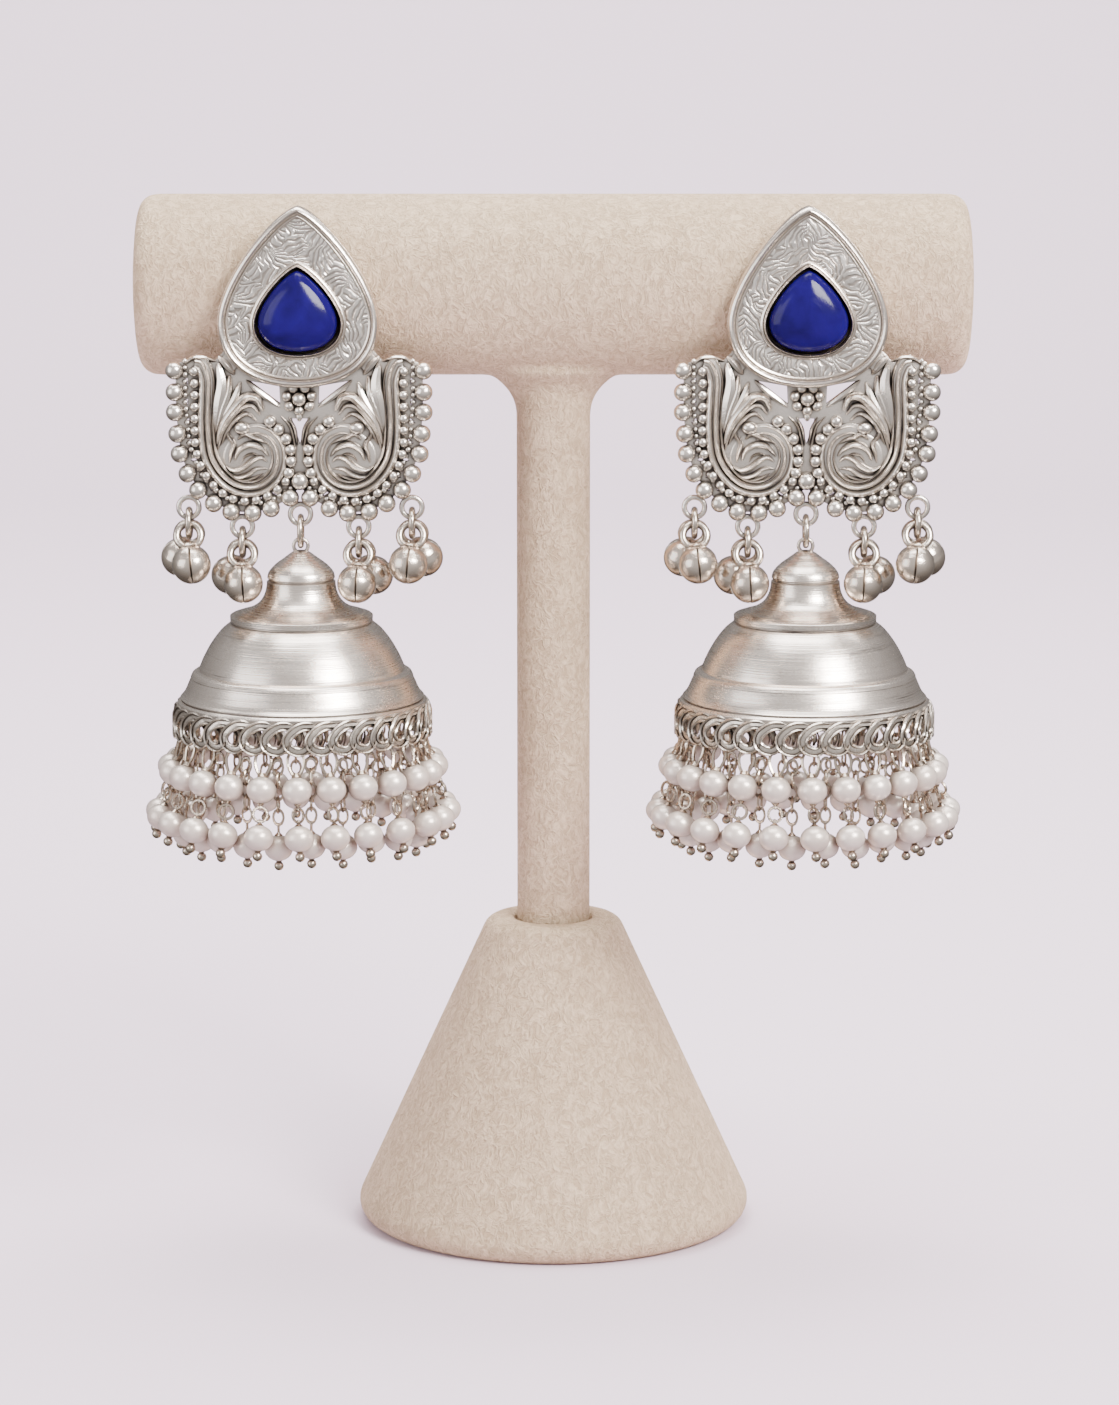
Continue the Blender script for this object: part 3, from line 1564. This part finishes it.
@dataclass
class Dome:
    """The stepped dome, turned with a loop on its crown."""

    top: float = -39.72
    loop_hole: float = 0.64
    loop_wire: float = 0.22
    runs: tuple[tuple[tuple[float, float], ...], ...] = (
        ((0.0, 1.62), (0.8, 1.66), (2.0, 2.5), (3.2, 3.4), (3.95, 4.3), (4.08, 4.95)),
        ((3.88, 5.1), (3.88, 5.2)),
        ((4.14, 5.35), (4.2, 6.0), (4.38, 6.75), (4.75, 7.5), (5.35, 8.15), (6.4, 8.72), (7.7, 9.12),
         (8.45, 9.37)),
        ((8.62, 9.5), (8.6, 10.1)),
        ((8.4, 10.2), (8.4, 10.32)),
        ((8.75, 10.45), (9.75, 11.3), (10.9, 12.8), (11.85, 14.5), (12.45, 15.9)),
        ((12.45, 16.0), (12.5, 16.08)),
        ((12.85, 16.2), (13.25, 16.45), (13.45, 16.85)),
        ((13.42, 16.95), (13.8, 17.8), (14.15, 18.6), (14.55, 19.15), (14.75, 19.35)),
        ((14.55, 19.45), (14.55, 19.55)),
        ((14.85, 19.6), (15.1, 19.85), (15.1, 20.25), (14.95, 20.5)),
    )
    inside: tuple[tuple[float, float], ...] = (
        (14.2, 20.5), (13.4, 18.6), (12.07, 16.8), (10.2, 13.9), (7.67, 11.1), (5.4, 9.6), (3.98, 8.6),
        (0.0, 8.2),
    )

    def form(self) -> Form:
        """The dome and its loop, in a frame whose top is the top of the loop.

        Returns:
            The form.
        """
        profile: list[tuple[float, float]] = []
        for run in self.runs:
            smooth = smoothed([(radius, -depth) for radius, depth in run], 0.45)
            profile += [(point.x, point.z) for point in smooth]
        profile += [(radius, -depth) for radius, depth in self.inside]
        shell = turned(profile, 120)
        radius = self.loop_hole + self.loop_wire
        loop = facing_front(wire_ring(radius, self.loop_wire, 32, 12)).moved(z=-(radius + self.loop_wire))
        return joined([shell, loop])

    def build(self, earring: Earring, depth: float) -> None:
        """Makes the dome of one earring.

        Args:
            earring: The earring.
            depth: How far its axis is in front of the backs of the plates.
        """
        brushed = SilverFinish("dome_silver", reach=0.0009, polish=0.27, wear=(0.25, 0.75),
                               lathe_lines=True)
        form = self.form().moved(0.0, -depth, self.top)
        earring.piece("dome_shell", form, brushed, ["dome"], "drop", crease=34.0)


@dataclass
class Fringe:
    """The band of overlapping crescents under the dome, and the pearl strands that hang from it."""

    dome: Dome = field(default_factory=Dome)
    band_radius: float = 15.0
    band_top: float = 20.45
    band_height: float = 3.4
    crescents: int = 36
    strands: int = 24
    strap_in: float = 0.85
    strap_out: float = 1.25
    bend_share: float = 0.55
    lean: float = 0.27
    pearls: tuple[tuple[float, float, float], ...] = ((1.78, 1.6, 3.75), (1.76, 1.56, 9.45))
    inner_pearl: tuple[float, float, float] = (1.72, 1.55, 10.6)
    inner_radius: float = 14.9
    seed: int = 11

    def crescent(self) -> list[Form]:
        """One crescent: a strap that bends over to the left and back, with raised edges.

        Returns:
            The strap and its two edge wires, bent round the band at the front.
        """
        path = smoothed((
            (3.0, -2.5), (3.2, -1.6), (2.85, -0.8), (2.1, -0.25), (1.2, -0.05), (0.3, -0.3), (-0.5, -0.9),
            (-0.95, -1.65), (-0.8, -2.45), (-0.15, -2.95), (0.65, -3.05), (1.25, -2.7), (1.4, -2.2),
        ), 0.35)
        forms = []
        strands = ((0.0, 0.5, 0.16, -0.06), (-0.44, 0.17, 0.26, 0.1), (0.44, 0.17, 0.26, 0.1))
        for offset, half, rise, proud in strands:
            line = beside(path, offset)
            bent, facing = [], []
            for index, point in enumerate(line):
                share = index / (len(line) - 1)
                bend = self.strap_out * min(1.0, share / self.bend_share)
                radius = self.band_radius - self.strap_in + proud + bend
                angle = point.x / self.band_radius
                out = Vector((math.sin(angle), -math.cos(angle), 0.0))
                bent.append(out * radius + UP * (point.z - self.band_top))
                facing.append(out)
            forms.append(drawn(bent, tapered(half, 0.3, 0.6), rise, facing, 6))
        return forms

    def band(self) -> Form:
        """All the crescents, between two thin hoops.

        Returns:
            The band.
        """
        one = joined(self.crescent())
        forms = [one.placed(Matrix.Rotation(math.tau * step / self.crescents, 4, "Z"))
                 for step in range(self.crescents)]
        top = -self.band_top
        low = top - self.band_height
        upper = [(14.4, top + 0.1), (15.15, top + 0.1), (15.2, top - 0.2), (14.4, top - 0.25)]
        lower = [(14.5, low + 0.35), (14.95, low + 0.35), (14.95, low + 0.02), (14.5, low)]
        return joined(forms + [turned(upper, 96, True), turned(lower, 96, True)])

    def strand(self, chance: random.Random) -> tuple[list[Form], list[Form]]:
        """One strand in its own frame: z down along it from the foot of the band, y outwards.

        Args:
            chance: The source of its small differences.

        Returns:
            Its silver wires and its pearls.
        """
        swing = chance.uniform(-0.05, 0.05)
        marquise = smoothed((
            (0.0, 1.5), (0.75, 0.6), (1.0, -0.45), (0.65, -1.55), (0.0, -2.3), (-0.65, -1.55),
            (-1.0, -0.45), (-0.75, 0.6),
        ), 0.4, closed=True)
        wires = [drawn(marquise, 0.2, 0.2, -FRONT, 6, closed=True)]
        for lift in (0.0, 0.2, 0.4):
            wires.append(wire_ring(0.5 - 0.4 * lift, 0.13, 14, 6).moved(z=-2.15 + lift * 0.8))
        neck = [(0.0, -5.1), (0.5, -5.2), (0.34, -5.5), (0.16, -5.65), (0.16, -6.05), (0.0, -6.1)]
        ring = facing_front(wire_ring(0.86, 0.19, 18, 6)).placed(Matrix.Rotation(0.5 + swing * 6, 4, "Z"))
        cap = [(0.0, -7.15), (0.16, -7.2), (0.16, -7.6), (0.55, -7.95), (0.0, -8.1)]
        foot = [(0.0, -10.8), (0.46, -10.95), (0.2, -11.25), (0.0, -11.3)]
        wires += [turned(neck, 10), ring.moved(z=-6.65), turned(cap, 10), turned(foot, 10),
                  ball(0.6, 2).moved(z=-11.6)]
        pearls = [turned(self.pearl_profile(radius, half), 20).moved(z=-drop)
                  for radius, half, drop in self.pearls]
        tilt = Matrix.Rotation(swing, 4, "Y")
        return [form.placed(tilt) for form in wires], [form.placed(tilt) for form in pearls]

    @staticmethod
    def pearl_profile(radius: float, half: float) -> list[tuple[float, float]]:
        """Half a slightly flattened oval.

        Args:
            radius: Its half width.
            half: Its half height.

        Returns:
            Its points as (radius, height), from its foot to its top.
        """
        round_line = arc((0.0, 0.0), 1.0, -math.pi / 2, math.pi / 2, 12)
        return [(0.0, -half), *((radius * x, half * z) for x, z in round_line[1:-1]), (0.0, half)]

    def strings(self) -> tuple[Form, Form]:
        """All the strands round the band, and the second row of pearls behind them.

        Returns:
            The wires and the pearls.
        """
        chance = random.Random(self.seed)
        wires: list[Form] = []
        pearls: list[Form] = []
        foot = -(self.band_top + self.band_height) - 0.6
        radius, half, drop = self.inner_pearl
        inner = turned(self.pearl_profile(radius, half), 16).moved(z=-drop)
        oval = facing_front(wire_ring(0.62, 0.15, 14, 6)).sized(z=1.45)
        chain = [oval.moved(z=-0.9 - 1.5 * index).placed(Matrix.Rotation(math.pi / 2 * (index % 2), 4, "Z"))
                 for index in range(5)]
        chain += [turned([(0.0, -7.9), (0.16, -7.95), (0.16, -8.7), (0.5, -9.05), (0.0, -9.2)], 10),
                  turned([(0.0, -11.9), (0.42, -12.1), (0.18, -12.4), (0.0, -12.45)], 10),
                  ball(0.58, 2).moved(z=-12.75)]
        for step in range(self.strands):
            around = Matrix.Rotation(math.tau * step / self.strands, 4, "Z")
            hang = (around @ Matrix.Translation((0.0, self.band_radius - 0.1, foot))
                    @ Matrix.Rotation(self.lean, 4, "X"))
            silver, white = self.strand(chance)
            wires += [form.placed(hang) for form in silver]
            pearls += [form.placed(hang) for form in white]
            where = (0.0, self.inner_radius + chance.uniform(-0.4, 0.3), foot + chance.uniform(-0.3, 0.3))
            between = Matrix.Rotation(math.tau * (step + 0.45) / self.strands, 4, "Z")
            second = between @ Matrix.Translation(where)
            pearls.append(inner.placed(second))
            wires += [form.placed(second) for form in chain]
        return joined(wires), joined(pearls)

    def build(self, earring: Earring, depth: float) -> None:
        """Makes the band and the strands of one earring.

        Args:
            earring: The earring.
            depth: How far the dome's axis is in front of the backs of the plates.
        """
        wires, pearls = self.strings()
        straps = SilverFinish("band_silver", bright=shade(236, 224, 212), patina=shade(38, 27, 20),
                              reach=0.0012, wear=(0.42, 0.9))
        wire = SilverFinish("strand_silver", bright=shade(206, 190, 174), reach=0.0008)
        for name, form, look, slot in (
            ("crescent_band", self.band(), straps, Slot.SILVER),
            ("strand_wires", wires, wire, Slot.SILVER),
            ("strand_pearls", pearls, PearlFinish(), Slot.PEARL),
        ):
            earring.piece(name, form.moved(0.0, -depth, self.dome.top), look, ["fringe"], "drop", slot)


@dataclass
class Studio:
    """The pale sweep, the soft lights and the camera."""

    focal_pixels: float = 4500.0
    image_height: float = 1405.0
    sensor: float = 36.0
    pitch: float = 9.93
    distance: float = 557.3
    aim_x: float = 0.75
    aim_z: float = 65.26
    floor_front: float = -2600.0
    bend_start: float = 700.0
    bend: float = 300.0
    wall_top: float = 1600.0
    sweep_width: float = 3000.0
    room_low: Colour = (0.24, 0.215, 0.2)
    room_high: Colour = (1.0, 0.985, 0.99)
    room_power: float = 0.64
    room_front: float = 0.2

    def sweep(self, shop: Workshop) -> None:
        """The floor and the backdrop in one bent sheet.

        Args:
            shop: The workshop.
        """
        shape = bmesh.new()
        wall = self.bend_start + self.bend
        profile = [(self.floor_front, 0.0)]
        profile += arc((self.bend_start, self.bend), self.bend, -math.pi / 2, 0.0, 12)
        profile.append((wall, self.wall_top))
        points = [shape.verts.new((-self.sweep_width / 2, y, z)) for y, z in profile]
        edges = [shape.edges.new(pair) for pair in zip(points, points[1:])]
        grown = bmesh.ops.extrude_edge_only(shape, edges=edges)["geom"]
        fresh = [part for part in grown if isinstance(part, bmesh.types.BMVert)]
        bmesh.ops.translate(shape, vec=(self.sweep_width, 0.0, 0.0), verts=fresh)
        bmesh.ops.recalc_face_normals(shape, faces=shape.faces[:])
        floor = shop.stock("studio_sweep", Form.taken(shape), FloorFinish(), 80.0)
        floor.visible_glossy = False

    def light(
        self, name: str, where: tuple[float, float, float], size: float, power: float,
        tint: Colour = (1.0, 1.0, 1.0), target: tuple[float, float, float] = (0.0, 0.0, 80.0),
    ) -> None:
        """A square soft light.

        Args:
            name: Its name.
            where: Its place in millimetres.
            size: Its side in millimetres.
            power: Its power in watts.
            tint: Its colour.
            target: The point in millimetres that it faces.
        """
        lamp = bpy.data.lights.new(name, "AREA")
        lamp.shape = "SQUARE"
        lamp.size = size * METRE
        lamp.energy = power
        lamp.color = tint
        self.placed(bpy.data.objects.new(name, lamp), Vector(where), Vector(target) - Vector(where))

    @staticmethod
    def placed(holder: bpy.types.Object, where: Vector, ahead: Vector) -> None:
        """Puts a lamp or camera in the scene.

        Args:
            holder: Its object.
            where: Its place in millimetres.
            ahead: The direction that it looks in.
        """
        turn = ahead.to_track_quat("-Z", "Y").to_matrix().to_4x4()
        holder.matrix_world = Matrix.Translation(where * METRE) @ turn
        bpy.context.scene.collection.objects.link(holder)

    def world(self) -> None:
        """The room's own soft light, brighter above and in front than below and behind."""
        world = bpy.data.worlds.new("soft_room")
        bpy.context.scene.world = world
        world.use_nodes = True
        tree = world.node_tree
        place = tree.nodes.new("ShaderNodeTexCoord")
        split = tree.nodes.new("ShaderNodeSeparateXYZ")
        ramp = tree.nodes.new("ShaderNodeValToRGB")
        stops = ((0.26, self.room_low), (0.66, self.room_high))
        for element, (position, colour) in zip(ramp.color_ramp.elements, stops):
            element.position = position
            element.color = (*colour, 1.0)
        tree.links.new(place.outputs["Generated"], split.inputs[0])
        back, up = (Signal(tree, split.outputs[axis]) for axis in "YZ")
        room = tree.nodes["Background"]
        tree.links.new((0.5 + 0.26 * up - 0.12 * back).socket, ramp.inputs[0])
        tree.links.new(ramp.outputs[0], room.inputs["Color"])
        tree.links.new((self.room_power - self.room_front * back).socket, room.inputs["Strength"])

    def camera(self) -> None:
        """The camera at the photograph's angle."""
        lens = bpy.data.cameras.new("view")
        lens.sensor_fit = "VERTICAL"
        lens.sensor_height = self.sensor
        lens.lens = self.focal_pixels / self.image_height * self.sensor
        lens.clip_start, lens.clip_end = 0.01, 10.0
        tilt = math.radians(self.pitch)
        ahead = Vector((0.0, math.cos(tilt), -math.sin(tilt)))
        where = Vector((self.aim_x, 0.0, self.aim_z)) - ahead * self.distance
        holder = bpy.data.objects.new("view", lens)
        self.placed(holder, where, ahead)
        bpy.context.scene.camera = holder

    def build(self, shop: Workshop) -> None:
        """Sets up the studio.

        Args:
            shop: The workshop.
        """
        self.sweep(shop)
        self.light("key_right", (330.0, -420.0, 430.0), 260.0, 9.0, (1.0, 0.985, 0.965))
        self.light("fill_left", (-520.0, -300.0, 220.0), 420.0, 1.8, (0.97, 0.98, 1.0))
        self.light("top_soft", (0.0, 20.0, 560.0), 420.0, 5.0)
        self.light("back_wash", (0.0, 420.0, 800.0), 900.0, 18.0, target=(0.0, 1000.0, 200.0))
        self.world()
        self.camera()


def dress() -> None:
    """Builds every piece of the stand and of both earrings, and the studio round them."""
    shop = Workshop()
    stand = Stand()
    stand.build(shop)
    links = Links()
    for side in Side:
        earring = Earring(shop, side, stand.hanging(side))
        for part in (StudPanel(), Cabochon(), links, Bells(links)):
            part.build(earring)
        for part in (Dome(), Fringe()):
            part.build(earring, links.depth)
    Studio().build(shop)
    LOG.info("%d triangles in all", shop.triangles)


if __name__ == "__main__":
    logging.basicConfig(level=logging.INFO, format="%(name)s: %(message)s")
    dress()
